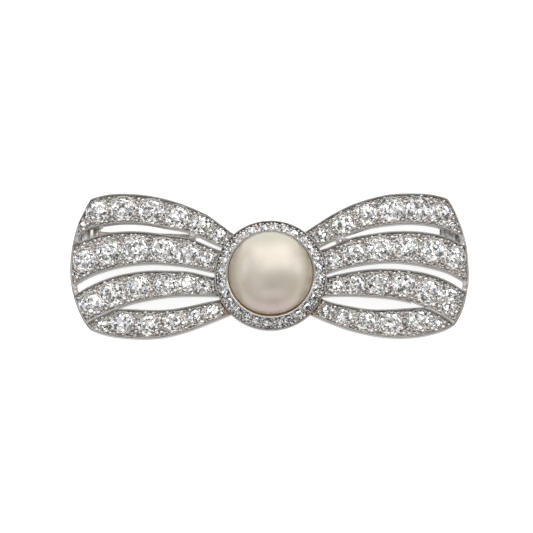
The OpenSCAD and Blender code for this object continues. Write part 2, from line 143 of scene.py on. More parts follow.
def start_material(name):
    """An empty material, its nodes, and Object coordinates in millimetres for its patterns.

    The scale of a pattern is then how often it comes in a millimetre.
    """
    material = bpy.data.materials.new(name)
    material.use_nodes = True
    tree = material.node_tree
    tree.nodes.clear()
    metres = add(tree, "ShaderNodeTexCoord").outputs["Object"]
    scaled = add(tree, "ShaderNodeVectorMath", {0: metres, "Scale": 1 / MM}, operation="SCALE")
    return material, tree, scaled


def finish_material(material, look):
    """Gives a material its shader, with the look's values on the shader's own sockets."""
    tree = material.node_tree
    shader = add(tree, "ShaderNodeBsdfPrincipled", look)
    add(tree, "ShaderNodeOutputMaterial", {"Surface": shader})
    return material


def deselect():
    """Leaves nothing selected, so that an operator acts on its own piece alone."""
    if bpy.context.object and bpy.context.object.mode != "OBJECT":
        bpy.ops.object.mode_set(mode="OBJECT")
    bpy.ops.object.select_all(action="DESELECT")


def only(piece):
    """Selects one piece alone and makes it the active one."""
    deselect()
    piece.select_set(True)
    bpy.context.view_layer.objects.active = piece


def dress(piece, material):
    """Gives a piece one material, on every slot that it has."""
    if not piece.material_slots:
        piece.data.materials.append(material)
    for slot in piece.material_slots:
        slot.material = material


def finish_piece(piece, name):
    """Names a finished piece, puts its place in its mesh and lets it ride on the bow."""
    only(piece)
    bpy.ops.object.transform_apply(location=True, rotation=True, scale=True)
    piece.name = name
    piece.data.name = name
    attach(piece, "bow")


def box_of(node):
    """Lowest and highest corner of a CAD node."""
    return [Vector(corner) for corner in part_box(node)]


def solids_of(node):
    """Centre and reach of every loose solid of a CAD node."""
    mesh = bmesh.new()
    mesh.from_mesh(frame["nodes"][node].data)
    bmesh.ops.remove_doubles(mesh, verts=mesh.verts, dist=1e-7)
    seen = set()
    found = []
    for first in mesh.verts:
        if first in seen:
            continue
        island = [first]
        seen.add(first)
        for vert in island:
            for edge in vert.link_edges:
                other = edge.other_vert(vert)
                if other not in seen:
                    seen.add(other)
                    island.append(other)
        centre = sum((vert.co for vert in island), Vector()) / len(island)
        found.append((centre, max((vert.co - centre).length for vert in island)))
    mesh.free()
    return found


def wing_stones(side):
    """Centre and reach of every stone of one wing."""
    return [stone for row in WING_ROWS[side] for stone in solids_of(row)]


def wing_height(place):
    """How high a place stands above the back of its wing, in millimetres."""
    return (place.z / MM - WING_BACK) * math.cos(WING_LEAN) + abs(place.x / MM) * math.sin(WING_LEAN)


def from_axis(place):
    """How far a place is from the pearl's axis, in millimetres."""
    return math.hypot(place.x, place.y) / MM


class BroochSizes(bpy.types.PropertyGroup):
    """Sizes of the pieces that are modelled here"""

    grain_size: bpy.props.FloatProperty(
        name="Grain Size",
        description="Diameter of the metal grains that hold the stones",
        default=0.6 * MM, min=0.1 * MM, soft_max=0.8 * MM, precision=5, unit="LENGTH")
    grain_spacing: bpy.props.FloatProperty(
        name="Grain Spacing",
        description="Distance between the grains that fill the field",
        default=0.64 * MM, min=0.2 * MM, soft_max=1 * MM, precision=5, unit="LENGTH")
    claw_spacing: bpy.props.FloatProperty(
        name="Claw Spacing",
        description="Distance along a stone's edge between the grains pushed over it",
        default=1.15 * MM, min=0.4 * MM, soft_max=2 * MM, precision=5, unit="LENGTH")
    rim_round: bpy.props.FloatProperty(
        name="Rim Rounding",
        description="How far the rounding of a rim reaches in from its edge",
        default=0.12 * MM, min=0.02 * MM, soft_max=0.12 * MM, precision=5, unit="LENGTH")
    rim_rise: bpy.props.FloatProperty(
        name="Rim Rise",
        description="How far the middle of a rounded rim stands above its edges",
        default=0.07 * MM, min=0.01 * MM, soft_max=0.15 * MM, precision=5, unit="LENGTH")
    seat_edge: bpy.props.FloatProperty(
        name="Seat Edge",
        description="Thickness of the bright-cut edge round the seat of an average stone",
        default=0.13 * MM, min=0.04 * MM, soft_max=0.3 * MM, precision=5, unit="LENGTH")
    gilt_line: bpy.props.FloatProperty(
        name="Gilt Line",
        description="Thickness of the gilt line between the pearl and the lip of its cup",
        default=0.24 * MM, min=0.05 * MM, soft_max=0.3 * MM, precision=5, unit="LENGTH")


class BroochColours(bpy.types.PropertyGroup):
    """Colours of the finishes"""

    platinum: bpy.props.FloatVectorProperty(
        name="Platinum", description="Polished platinum of the body and its rims",
        default=linear("#93908e"), subtype="COLOR", min=0, max=1)
    # Painted reflection: the lip is made lighter and bluer than the platinum of the body
    lip: bpy.props.FloatVectorProperty(
        name="Lip", description="Burnished platinum of the cup's lip",
        default=linear("#eceef2"), subtype="COLOR", min=0, max=1)
    grains: bpy.props.FloatVectorProperty(
        name="Grains", description="Bright-cut platinum of the grains and the seat edges",
        default=linear("#e8e5e2"), subtype="COLOR", min=0, max=1)
    field: bpy.props.FloatVectorProperty(
        name="Field", description="Cut platinum between the stones",
        default=linear("#b2aca7"), subtype="COLOR", min=0, max=1)
    # Painted reflection of gold where the lowest ribbons meet the ring
    reflection: bpy.props.FloatVectorProperty(
        name="Gold Reflection", description="Gold solder where the lowest ribbons meet the ring",
        default=linear("#a88c66"), subtype="COLOR", min=0, max=1)
    gilt: bpy.props.FloatVectorProperty(
        name="Gilt", description="Gilt line round the pearl",
        default=linear("#96712f"), subtype="COLOR", min=0, max=1)
    white_gold: bpy.props.FloatVectorProperty(
        name="White Gold", description="White gold of the pin, its rivet and the catch",
        default=linear("#e0dad0"), subtype="COLOR", min=0, max=1)
    stones: bpy.props.FloatVectorProperty(
        name="Stones", description="Light that comes back out of the old-cut stones",
        default=linear("#fdfcfa"), subtype="COLOR", min=0, max=1)
    ring_stones: bpy.props.FloatVectorProperty(
        name="Ring Stones", description="Light that comes back out of the small stones of the ring",
        default=linear("#f8f8f7"), subtype="COLOR", min=0, max=1)
    pearl: bpy.props.FloatVectorProperty(
        name="Pearl", description="Cream body of the pearl",
        default=linear("#cdc5b6"), subtype="COLOR", min=0, max=1)
    # Painted reflections: the pearl is tinted olive towards its upper edge and lilac towards its lower edge
    pearl_upper_reflection: bpy.props.FloatVectorProperty(
        name="Pearl Upper Reflection", description="Olive tint of the pearl towards its upper edge",
        default=linear("#a39d85"), subtype="COLOR", min=0, max=1)
    pearl_lower_reflection: bpy.props.FloatVectorProperty(
        name="Pearl Lower Reflection", description="Lilac tint of the pearl towards its lower edge",
        default=linear("#b09b91"), subtype="COLOR", min=0, max=1)
    # Painted reflection of the ring and its stones at the pearl's two sides
    pearl_side_reflection: bpy.props.FloatVectorProperty(
        name="Pearl Side Reflection", description="What is left of the pearl's colour at its two sides",
        default=linear("#e4dcc9"), subtype="COLOR", min=0, max=1)


class BroochStage(bpy.types.PropertyGroup):
    """Light and floor round the brooch"""

    floor: bpy.props.FloatVectorProperty(
        name="Floor", description="Pale studio floor",
        default=linear("#b0b0b0"), subtype="COLOR", min=0, max=1)
    floor_glow: bpy.props.FloatProperty(
        name="Floor Glow", description="Light that the lit floor gives off itself",
        default=0.84, min=0, soft_max=2)
    surround: bpy.props.FloatProperty(
        name="Surround", description="Brightness of the studio round the brooch",
        default=0.9, min=0, soft_max=2)
    key: bpy.props.FloatProperty(
        name="Key Light", description="Brightness of the bank of panels overhead",
        default=1.82, min=0, soft_max=8)
    front: bpy.props.FloatProperty(
        name="Front Light", description="Brightness of the low softbox in front",
        default=0.9, min=0, soft_max=8)
    sides: bpy.props.FloatProperty(
        name="Side Lights", description="Brightness of the low softboxes at the sides",
        default=1.7, min=0, soft_max=8)


class BROOCH_OT_pearl(bpy.types.Operator):
    """Models the button-shaped pearl that stands in the cup"""

    bl_idname = "brooch.pearl"
    bl_label = "Pearl"

    def execute(self, context):
        low, high = box_of("pearl")
        centre = (low + high) / 2
        size = high - low
        deselect()
        bpy.ops.mesh.primitive_ico_sphere_add(
            subdivisions=6, radius=size.x / 2 - PEARL_JOINT * MM, location=centre)
        pearl = context.object
        bpy.ops.object.mode_set(mode="EDIT")
        bpy.ops.mesh.select_all(action="SELECT")
        bpy.ops.transform.resize(value=(1, 1, size.z / size.x), center_override=centre)
        bpy.ops.object.mode_set(mode="OBJECT")
        bpy.ops.object.shade_smooth()
        # A grown pearl is never a true ball: slow swellings of a few hundredths of a millimetre
        swelling = bpy.data.textures.new("pearl_swelling", "CLOUDS")
        swelling.noise_scale = 4.5 * MM
        swelling.noise_depth = 0
        bpy.ops.object.modifier_add(type="DISPLACE")
        swell = pearl.modifiers[-1]
        swell.texture = swelling
        swell.texture_coords = "LOCAL"
        swell.mid_level = 0.5
        swell.strength = 0.05 * MM
        bpy.ops.object.modifier_apply(modifier=swell.name)
        finish_piece(pearl, "grown_pearl")
        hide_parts("pearl")
        dress(pearl, pearl_material(context.scene.brooch_colours))
        return {"FINISHED"}


def hoop(name, centre, radius, width, share, tilt):
    """Models a flattened hoop, tilted about X: share is its height over its width."""
    deselect()
    bpy.ops.mesh.primitive_torus_add(
        major_segments=192, minor_segments=12, major_radius=radius, minor_radius=width / 2, location=centre)
    ring = bpy.context.object
    bpy.ops.object.mode_set(mode="EDIT")
    bpy.ops.mesh.select_all(action="SELECT")
    bpy.ops.transform.resize(value=(1, 1, share), center_override=centre)
    bpy.ops.transform.rotate(value=tilt, orient_axis="X", orient_type="GLOBAL", center_override=centre)
    bpy.ops.object.mode_set(mode="OBJECT")
    bpy.ops.object.shade_smooth()
    finish_piece(ring, name)
    return ring


class BROOCH_OT_lip(bpy.types.Operator):
    """Models the rounded lip of the cup and the gilt line between it and the pearl"""

    bl_idname = "brooch.lip"
    bl_label = "Lip and Gilt Line"

    def execute(self, context):
        colours = context.scene.brooch_colours
        low, high = box_of("pearl")
        centre = (low + high) / 2
        radius = (high.x - low.x) / 2
        top = centre.z + LIP_OVER_MIDDLE * MM
        width = context.scene.brooch_sizes.gilt_line
        # The gilt line fills the joint: it is full on the lower side and runs out towards the upper one
        place = (centre.x, centre.y - 0.4 * width, top - 0.25 * MM)
        line = hoop("gilt_line", place, radius - 0.1 * width, width, 0.7, math.radians(2.2))
        dress(line, gilt_material(colours))
        # The lip's rounded edge fades into its flat top on the upper side
        place = (centre.x, centre.y - 0.03 * MM, top - 0.1 * MM)
        lip = hoop("burnished_lip", place, (RING_LIP - 0.09) * MM, LIP_BREADTH * MM, 0.75, math.radians(0.7))
        # Painted reflection: the lip gets its own lighter, bluer platinum
        dress(lip, platinum_material(colours.lip, "lip_platinum_painted_reflection", 0.9))
        return {"FINISHED"}


def grain_shape(radius):
    """One domed grain with its flat side left open, standing at the origin."""
    deselect()
    bpy.ops.mesh.primitive_ico_sphere_add(subdivisions=2, radius=radius, location=(0, 0, 0))
    grain = bpy.context.object
    bpy.ops.object.mode_set(mode="EDIT")
    bpy.ops.mesh.select_all(action="SELECT")
    # The dome goes on a little below its middle, where it sinks into the metal
    bpy.ops.mesh.bisect(plane_co=(0, 0, -0.3 * radius), plane_no=(0, 0, 1), clear_inner=True)
    bpy.ops.mesh.select_all(action="SELECT")
    bpy.ops.transform.resize(value=(1, 1, 0.8), center_override=(0, 0, 0))
    bpy.ops.object.mode_set(mode="OBJECT")
    bpy.ops.object.shade_smooth()
    return grain


def field_normal(point):
    """Direction that the metal's field faces at a place: up the ring's slope, or up from a wing."""
    if from_axis(point) < RING_END:
        out = Vector((point.x, point.y, 0)).normalized()
        return out * math.sin(RING_SLOPE) + Vector((0, 0, math.cos(RING_SLOPE)))
    side = 1 if point.x > 0 else -1
    return Vector((side * math.sin(WING_LEAN), 0, math.cos(WING_LEAN)))


def field_under(metal, x, y, level=WING_FIELD):
    """The surface at that level under a place seen from above, or None where something else is there."""
    above = 20 * MM
    spot, facing, _, _ = metal.ray_cast(Vector((x, y, above)), Vector((0, 0, -1)))
    if spot is None or facing.dot(field_normal(spot)) < 0.995:
        return None
    around = from_axis(spot)
    if around < RING_END:
        return spot if RING_LIP < around < RING_FIELD_END else None
    return spot if abs(wing_height(spot) - level) < 0.05 else None


def stands_clear(metal, spot, reach, level=WING_FIELD):
    """Whether the surface at that level reaches all round a grain."""
    for i in range(8):
        turn = 2 * math.pi * i / 8
        x, y = spot.x + reach * math.cos(turn), spot.y + reach * math.sin(turn)
        if field_under(metal, x, y, level) is None:
            return False
    return True


def grain_spots(metal, stones, low, high, sizes, seed, first_spots):
    """Where grains stand, and their radii: over the stones' edges first, then on the field that is left."""
    chance = random.Random(seed)
    radius = sizes.grain_size / 2
    spots = list(first_spots)

    def free(spot, gap):
        return all((spot - other).length > gap for other, _ in spots)

    for centre, reach in stones:
        facing = field_normal(centre)
        across = facing.orthogonal().normalized()
        along = facing.cross(across)
        count = max(4, round(2 * math.pi * reach / sizes.claw_spacing))
        first = chance.random() * 2 * math.pi
        for i in range(count):
            angle = first + 2 * math.pi * (i + 0.3 * (chance.random() - 0.5)) / count
            way = across * math.cos(angle) + along * math.sin(angle)
            place = centre + way * (reach + SEAT_GAP * MM + 0.65 * radius)
            spot = field_under(metal, place.x, place.y)
            if spot is not None and free(spot, 1.5 * radius):
                spots.append((spot, radius * (0.8 + 0.35 * chance.random())))
    step = 0.25 * sizes.grain_spacing
    columns, rows = (int((high[axis] - low[axis]) / step) for axis in (0, 1))
    places = [(low[0] + i * step, low[1] + j * step) for i in range(columns) for j in range(rows)]
    chance.shuffle(places)
    for x, y in places:
        spot = field_under(metal, x, y)
        if spot is None or not free(spot, sizes.grain_spacing):
            continue
        size = radius * (0.65 + 0.4 * chance.random())
        if stands_clear(metal, spot, 0.8 * size):
            spots.append((spot, size))
    # The broad webs between the ribbons lie level with the rims, and carry grains too
    for x, y in places:
        spot = field_under(metal, x, y, WING_RIM)
        if spot is None or not free(spot, 0.8 * sizes.grain_spacing):
            continue
        if stands_clear(metal, spot, 1.1 * radius, WING_RIM):
            spots.append((spot, radius * (0.6 + 0.3 * chance.random())))
    return spots


def ring_edge_spots(metal, sizes):
    """Where grains stand close together along the outer edge and the lip of the ring, and their radii."""
    chance = random.Random(11)
    spots = []
    outer_row = (RING_FIELD_END - 0.15, 0.4 * sizes.grain_size)
    inner_row = (RING_LIP + 0.22, 0.3 * sizes.grain_size)
    for around, size in (outer_row, inner_row):
        count = round(2 * math.pi * around * MM / (2.3 * size))
        # The field lies level all round, so the seats cut into it don't change a grain's height
        turns = [2 * math.pi * i / count for i in range(count)]
        found = [field_under(metal, around * MM * math.cos(a), around * MM * math.sin(a)) for a in turns]
        level = next(spot.z for spot in found if spot is not None)
        for turn in turns:
            # No row set by hand is quite even
            turn += 0.5 * (chance.random() - 0.5) * turns[1]
            out = 0.14 * MM * (chance.random() - 0.5)
            reach = around * MM + out
            height = level - out * math.tan(RING_SLOPE)
            spots.append((Vector((reach * math.cos(turn), reach * math.sin(turn), height)),
                          size * (0.7 + 0.5 * chance.random())))
    return spots


def scatter(shape, spots, radius, sway):
    """Copies one shape to every spot, by instancing it on small faces, and joins the copies.

    The radius is the shape's own, and sway is how far a copy may lean to one side.
    """
    carrier = bmesh.new()
    chance = random.Random(len(spots))
    for spot, size in spots:
        facing = (field_normal(spot) + sway * Vector([chance.random() - 0.5 for _ in range(3)])).normalized()
        across = Vector([chance.random() - 0.5 for _ in range(3)]).cross(facing).normalized()
        along = facing.cross(across)
        half = 0.5 * size / radius
        corners = [carrier.verts.new(spot + (across * u + along * v) * half)
                   for u, v in ((-1, -1), (1, -1), (1, 1), (-1, 1))]
        carrier.faces.new(corners)
    mesh = bpy.data.meshes.new("grain_places")
    carrier.to_mesh(mesh)
    carrier.free()
    places = bpy.data.objects.new("grain_places", mesh)
    bpy.context.collection.objects.link(places)
    shape.parent = places
    places.instance_type = "FACES"
    places.use_instance_faces_scale = True
    places.instance_faces_scale = 1.0
    only(places)
    bpy.ops.object.duplicates_make_real()
    copies = [piece for piece in bpy.context.selected_objects if piece is not places]
    only(copies[0])
    for piece in copies:
        piece.select_set(True)
    bpy.ops.object.make_single_user(object=True, obdata=True)
    bpy.ops.object.join()
    joined = bpy.context.object
    joined.parent = None
    for spare in (shape, places):
        bpy.data.objects.remove(spare, do_unlink=True)
    return joined


class BROOCH_OT_edges(bpy.types.Operator):
    """Raises the bright-cut edge of each seat on the wings"""

    bl_idname = "brooch.edges"
    bl_label = "Seat Edges"

    def execute(self, context):
        sizes = context.scene.brooch_sizes
        colour = context.scene.brooch_colours.grains
        bright_cut = platinum_material(colour, "bright_cut_platinum_edges", 0.8)
        for side in WING_ROWS:
            spots = []
            for centre, reach in wing_stones(side):
                raised = (WING_FIELD - wing_height(centre)) * MM
                spots.append((centre + field_normal(centre) * raised, reach + SEAT_EDGE_GAP * MM))
            deselect()
            bpy.ops.mesh.primitive_torus_add(
                major_segments=40, minor_segments=6, major_radius=1 * MM,
                minor_radius=0.5 * sizes.seat_edge / AVERAGE_STONE, location=(0, 0, 0))
            edge = context.object
            bpy.ops.object.shade_smooth()
            piece = scatter(edge, spots, 1 * MM, 0)
            finish_piece(piece, f"{side}_wing_seat_edges")
            dress(piece, bright_cut)
        return {"FINISHED"}


def is_rim(face):
    """Whether a face of the metal is the flat top of a rim or of the ring's outer edge."""
    place = face.calc_center_median()
    around = from_axis(place)
    if around < RING_END:
        return face.normal.z > 0.99 and around > RING_FIELD_END
    if face.normal.dot(field_normal(place)) < 0.9995:
        return False
    return abs(wing_height(place) - WING_RIM) < 0.03


class BROOCH_OT_rims(bpy.types.Operator):
    """Rounds the tops of the rims and of the ring's edge, as burnishing leaves them"""

    bl_idname = "brooch.rims"
    bl_label = "Rims"

    def execute(self, context):
        sizes = context.scene.brooch_sizes
        deselect()
        mesh = frame["nodes"]["bow_frame"].data.copy()
        rims = bpy.data.objects.new("rounded_rims", mesh)
        context.collection.objects.link(rims)
        only(rims)
        bpy.ops.object.mode_set(mode="EDIT")
        bpy.ops.mesh.select_all(action="SELECT")
        bpy.ops.mesh.remove_doubles(threshold=0.0001 * MM)
        bpy.ops.mesh.select_mode(type="FACE")
        bpy.ops.mesh.select_all(action="DESELECT")
        edit = bmesh.from_edit_mesh(rims.data)
        for face in edit.faces:
            face.select_set(not is_rim(face))
        bmesh.update_edit_mesh(rims.data)
        bpy.ops.mesh.delete(type="FACE")
        bpy.ops.mesh.select_all(action="SELECT")
        # Two insets round the top: each goes a share of the way in and a share of the way up
        for share, rise in ((0.3, 0.5), (0.35, 0.3)):
            bpy.ops.mesh.inset(
                thickness=share * sizes.rim_round, depth=rise * sizes.rim_rise, use_boundary=True,
                use_even_offset=False)
        bpy.ops.object.mode_set(mode="OBJECT")
        bpy.ops.object.shade_smooth()
        finish_piece(rims, "rounded_rims")
        colour = context.scene.brooch_colours.platinum
        dress(rims, platinum_material(colour, "burnished_platinum_rims", 0.85))
        return {"FINISHED"}


class BROOCH_OT_grains(bpy.types.Operator):
    """Raises the metal grains that hold the stones and fill the field between them"""

    bl_idname = "brooch.grains"
    bl_label = "Setting Grains"

    def execute(self, context):
        sizes = context.scene.brooch_sizes
        metal = BVHTree.FromObject(frame["nodes"]["bow_frame"], context.evaluated_depsgraph_get())
        colour = context.scene.brooch_colours.grains
        bright_cut = platinum_material(colour, "bright_cut_platinum_grains", 0.5)
        low, high = box_of("bow_frame")
        edge = RING_END * MM
        ring_stones = solids_of("ring_stones")
        groups = [
            ("left_wing_grains", wing_stones("left"), (low.x, low.y), (-0.5 * edge, high.y), 3, []),
            ("right_wing_grains", wing_stones("right"), (0.5 * edge, low.y), (high.x, high.y), 5, []),
            ("ring_grains", ring_stones, (-edge, -edge), (edge, edge), 7, ring_edge_spots(metal, sizes)),
        ]
        for name, stones, start, end, seed, first_spots in groups:
            found = grain_spots(metal, stones, start, end, sizes, seed, first_spots)
            on_ring = name == "ring_grains"
            spots = [(spot, size) for spot, size in found if (from_axis(spot) < RING_END) == on_ring]
            piece = scatter(grain_shape(sizes.grain_size / 2), spots, sizes.grain_size / 2, 0.25)
            finish_piece(piece, name)
            dress(piece, bright_cut)
        return {"FINISHED"}


def pearl_material(colours):
    """Nacre of a natural pearl, grown in thin layers: a soft broad gloss under a clear skin."""
    material, tree, scaled = start_material("natural_pearl_nacre")
    axes = add(tree, "ShaderNodeSeparateXYZ", {0: scaled})
    # Painted reflections: olive and darker towards the upper edge, lilac and darker towards the lower one
    y = axes.outputs["Y"]
    upper = add(tree, "ShaderNodeMapRange", {0: y, 1: 2.0, 2: 6.3}, interpolation_type="SMOOTHSTEP")
    lower = add(tree, "ShaderNodeMapRange", {0: y, 1: -2.0, 2: -6.2}, interpolation_type="SMOOTHSTEP")
    first = add(tree, "ShaderNodeMix", {
        "Factor": upper, 6: solid(colours.pearl), 7: solid(colours.pearl_upper_reflection)}, data_type="RGBA")
    second = add(tree, "ShaderNodeMix", {
        "Factor": lower, 6: first.outputs[2], 7: solid(colours.pearl_lower_reflection)}, data_type="RGBA")
    # Clouding of the nacre, a few millimetres across
    clouds = add(tree, "ShaderNodeTexNoise", {"Vector": scaled, "Scale": 0.35, "Detail": 3.0})
    veil = add(tree, "ShaderNodeMapRange", {0: clouds, 1: 0.3, 2: 0.7, 3: 0.95, 4: 1.04})
    body = add(tree, "ShaderNodeVectorMath", {0: second.outputs[2], "Scale": veil}, operation="SCALE")
    # Painted reflection of the ring and its stones: the two sides are made a deeper olive brown, with faint
    # streaks
    across = add(tree, "ShaderNodeMath", {0: axes.outputs["X"]}, operation="ABSOLUTE")
    deep = add(tree, "ShaderNodeMapRange", {0: across, 1: 1.8, 2: 6.2}, interpolation_type="SMOOTHSTEP")
    flat = add(tree, "ShaderNodeVectorMath", {0: scaled, 1: (1.0, 1.0, 0.0)}, operation="MULTIPLY")
    ray = add(tree, "ShaderNodeVectorMath", {0: flat}, operation="NORMALIZE")
    painted_streaks = add(tree, "ShaderNodeTexNoise", {"Vector": ray, "Scale": 14.0, "Detail": 3.0})
    tone = add(tree, "ShaderNodeMapRange", {0: painted_streaks, 1: 0.3, 2: 0.7, 3: 0.94, 4: 1.06})
    edge = add(tree, "ShaderNodeVectorMath", {0: colours.pearl_side_reflection, "Scale": tone}, operation="SCALE")
    tint = add(tree, "ShaderNodeMix", {"Factor": deep, 6: (1.0, 1.0, 1.0, 1.0), 7: edge}, data_type="RGBA")
    body = add(tree, "ShaderNodeVectorMath", {0: body, 1: tint.outputs[2]}, operation="MULTIPLY")
    # Growth skin: pits of about a sixth of a millimetre, hardly to be felt
    skin = add(tree, "ShaderNodeTexNoise", {"Vector": scaled, "Scale": 6.0, "Detail": 2.0})
    relief = add(tree, "ShaderNodeBump", {"Height": skin, "Strength": 0.15, "Distance": 0.02 * MM})
    return finish_material(material, {
        "Base Color": body, "Metallic": 0.4, "Roughness": 0.42, "IOR": 1.9, "Subsurface Weight": 0.2,
        "Subsurface Radius": (1.0, 0.8, 0.6), "Subsurface Scale": 0.8 * MM, "Coat Weight": 1.0,
        "Coat Roughness": 0.32, "Coat IOR": 1.8, "Normal": relief})


def gilt_material(colours):
    """Burnished gilding, a little uneven where it was laid by hand."""
    material, tree, scaled = start_material("burnished_gilt")
    wear = add(tree, "ShaderNodeTexNoise", {"Vector": scaled, "Scale": 1.6, "Detail": 4.0})
    dull = add(tree, "ShaderNodeMapRange", {0: wear, 1: 0.3, 2: 0.7, 3: 0.25, 4: 0.5})
    relief = add(tree, "ShaderNodeBump", {"Height": wear, "Strength": 0.4, "Distance": 0.05 * MM})
    return finish_material(material, {
        "Base Color": solid(colours.gilt), "Metallic": 1.0, "Roughness": dull, "Normal": relief})


def platinum_material(colour, name, darkest):
    """Polished platinum: warm grey, with fine wear from handling; some grains are left duller and darker.

    The darkest patches keep the share of the colour that darkest gives.
    """
    material, tree, scaled = start_material(name)
    wear = add(tree, "ShaderNodeTexNoise", {"Vector": scaled, "Scale": 2.5, "Detail": 4.0})
    dull = add(tree, "ShaderNodeMapRange", {0: wear, 1: 0.3, 2: 0.7, 3: 0.12, 4: 0.28})
    # Patches a little larger than one grain, so that each grain has its own tone
    patches = add(tree, "ShaderNodeTexNoise", {"Vector": scaled, "Scale": 1.3, "Detail": 1.0})
    tone = add(tree, "ShaderNodeMapRange", {0: patches, 1: 0.36, 2: 0.6, 3: darkest, 4: 1.0})
    metal = add(tree, "ShaderNodeVectorMath", {0: colour, "Scale": tone}, operation="SCALE")
    return finish_material(material, {"Base Color": metal, "Metallic": 1.0, "Roughness": dull})


def set_platinum_material(colours):
    """Platinum of the body: polished rims and lip, a cut field between the stones, satin at the fittings.

    A painted reflection of gold shows at two joints.
    """
    material, tree, scaled = start_material("cut_and_polished_platinum")
    axes = add(tree, "ShaderNodeSeparateXYZ", {0: scaled})
    flat = add(tree, "ShaderNodeCombineXYZ", {"X": axes.outputs["X"], "Y": axes.outputs["Y"]})
    around = add(tree, "ShaderNodeVectorMath", {0: flat}, operation="LENGTH")
    sideways = add(tree, "ShaderNodeMath", {0: axes.outputs["X"]}, operation="ABSOLUTE")
    raised = add(tree, "ShaderNodeMath", {0: axes.outputs["Z"], 1: WING_BACK}, operation="SUBTRACT")
    lean = math.sin(WING_LEAN)
    height = add(tree, "ShaderNodeMath", {0: sideways, 1: lean, 2: raised}, operation="MULTIPLY_ADD")
    # Only the field is cut: the sunk floor of the wings, and the ring's slope between its lip and its edge
    level = add(tree, "ShaderNodeMath", {0: height, 1: WING_FIELD, 2: 0.08}, operation="COMPARE")
    reach = around.outputs["Value"]
    on_wing = add(tree, "ShaderNodeMath", {0: reach, 1: RING_END + 0.02}, operation="GREATER_THAN")
    facing = add(tree, "ShaderNodeNewGeometry")
    tilt = add(tree, "ShaderNodeSeparateXYZ", {0: facing.outputs["True Normal"]})
    level_part = add(tree, "ShaderNodeMath", {0: tilt.outputs["Z"], 1: 0.8}, operation="GREATER_THAN")
    wing_cut = level
    for part in (on_wing, level_part):
        wing_cut = add(tree, "ShaderNodeMath", {0: wing_cut, 1: part}, operation="MULTIPLY")
    middle = (RING_LIP + RING_FIELD_END) / 2
    half = (RING_FIELD_END - RING_LIP) / 2 - 0.01
    slope = add(tree, "ShaderNodeMath", {0: reach, 1: middle, 2: half}, operation="COMPARE")
    upper = add(tree, "ShaderNodeMath", {0: height, 1: WING_RIM}, operation="GREATER_THAN")
    ring_cut = add(tree, "ShaderNodeMath", {0: slope, 1: upper}, operation="MULTIPLY")
    field = add(tree, "ShaderNodeMath", {0: wing_cut, 1: ring_cut}, operation="MAXIMUM")
    polished = add(tree, "ShaderNodeMath", {0: 1.0, 1: field}, operation="SUBTRACT")
    inside = add(tree, "ShaderNodeMath", {0: reach, 1: RING_LIP + 0.01}, operation="LESS_THAN")
    lip = add(tree, "ShaderNodeMath", {0: inside, 1: upper}, operation="MULTIPLY")
    # Cut field: graver marks and beads, about a quarter of a millimetre apart, with a painted glint at each
    # and painted shade in the pits between them
    marks = add(tree, "ShaderNodeTexVoronoi", {"Vector": scaled, "Scale": 3.6}, feature="F1")
    grit = add(tree, "ShaderNodeTexNoise", {"Vector": scaled, "Scale": 5.0, "Detail": 4.0})
    tone = add(tree, "ShaderNodeMapRange", {0: marks, 1: 0.0, 2: 0.7, 3: 1.6, 4: 0.3})
    # Painted light: the ring's narrow field is made lighter than that of the wings
    bright = add(tree, "ShaderNodeMapRange", {0: on_wing, 1: 0.0, 2: 1.0, 3: 1.82, 4: 1.0})
    tone = add(tree, "ShaderNodeMath", {0: tone, 1: bright}, operation="MULTIPLY")
    cut = add(tree, "ShaderNodeVectorMath", {0: colours.field, "Scale": tone}, operation="SCALE")
    polish = solid(colours.platinum)
    metal = add(tree, "ShaderNodeMix", {"Factor": polished, 6: cut, 7: polish}, data_type="RGBA")
    # Painted shade: the lip's flat top, beside the pearl, is made darker than the rims
    lip_painted_shade = add(tree, "ShaderNodeMapRange", {0: lip, 1: 0.0, 2: 1.0, 3: 1.0, 4: 0.6})
    metal = add(tree, "ShaderNodeVectorMath", {0: metal.outputs[2], "Scale": lip_painted_shade}, operation="SCALE")
    # The hinge and the catch are soldered on under the wings and left satin
    below = add(tree, "ShaderNodeMath", {0: height, 1: -0.15}, operation="LESS_THAN")
    # The walls of the two recesses that they stand in are satin too
    under_rim = add(tree, "ShaderNodeMath", {0: height, 1: WING_RIM - 0.12}, operation="LESS_THAN")
    far_out = add(tree, "ShaderNodeMath", {0: sideways, 1: RECESS_START}, operation="GREATER_THAN")
    upper_slot = add(tree, "ShaderNodeMath", {
        0: axes.outputs["Y"], 1: RECESS_MIDDLE, 2: RECESS_HALF}, operation="COMPARE")
    recess = under_rim
    for part in (far_out, upper_slot, polished):
        recess = add(tree, "ShaderNodeMath", {0: recess, 1: part}, operation="MULTIPLY")
    satin = add(tree, "ShaderNodeMath", {0: below, 1: recess}, operation="MAXIMUM")
    fitting = add(tree, "ShaderNodeMath", {0: satin, 1: on_wing}, operation="MULTIPLY")
    # Painted light: the fittings and their recess walls are made much lighter than the polished platinum,
    # with bars of painted highlight and painted shade that run across the wings
    across_wings = add(tree, "ShaderNodeMapping", {"Vector": scaled, "Scale": (1.0, 0.05, 0.2)})
    painted_light_bars = add(tree, "ShaderNodeTexNoise", {"Vector": across_wings, "Scale": 2.4, "Detail": 2.0})
    shade = add(tree, "ShaderNodeMapRange", {0: painted_light_bars, 1: 0.42, 2: 0.58, 3: 0.45, 4: 1.2})
    painted_light_satin_metal = add(tree, "ShaderNodeVectorMath", {0: colours.grains, "Scale": shade}, operation="SCALE")
    metal = add(tree, "ShaderNodeMix", {"Factor": fitting, 6: metal, 7: painted_light_satin_metal}, data_type="RGBA")
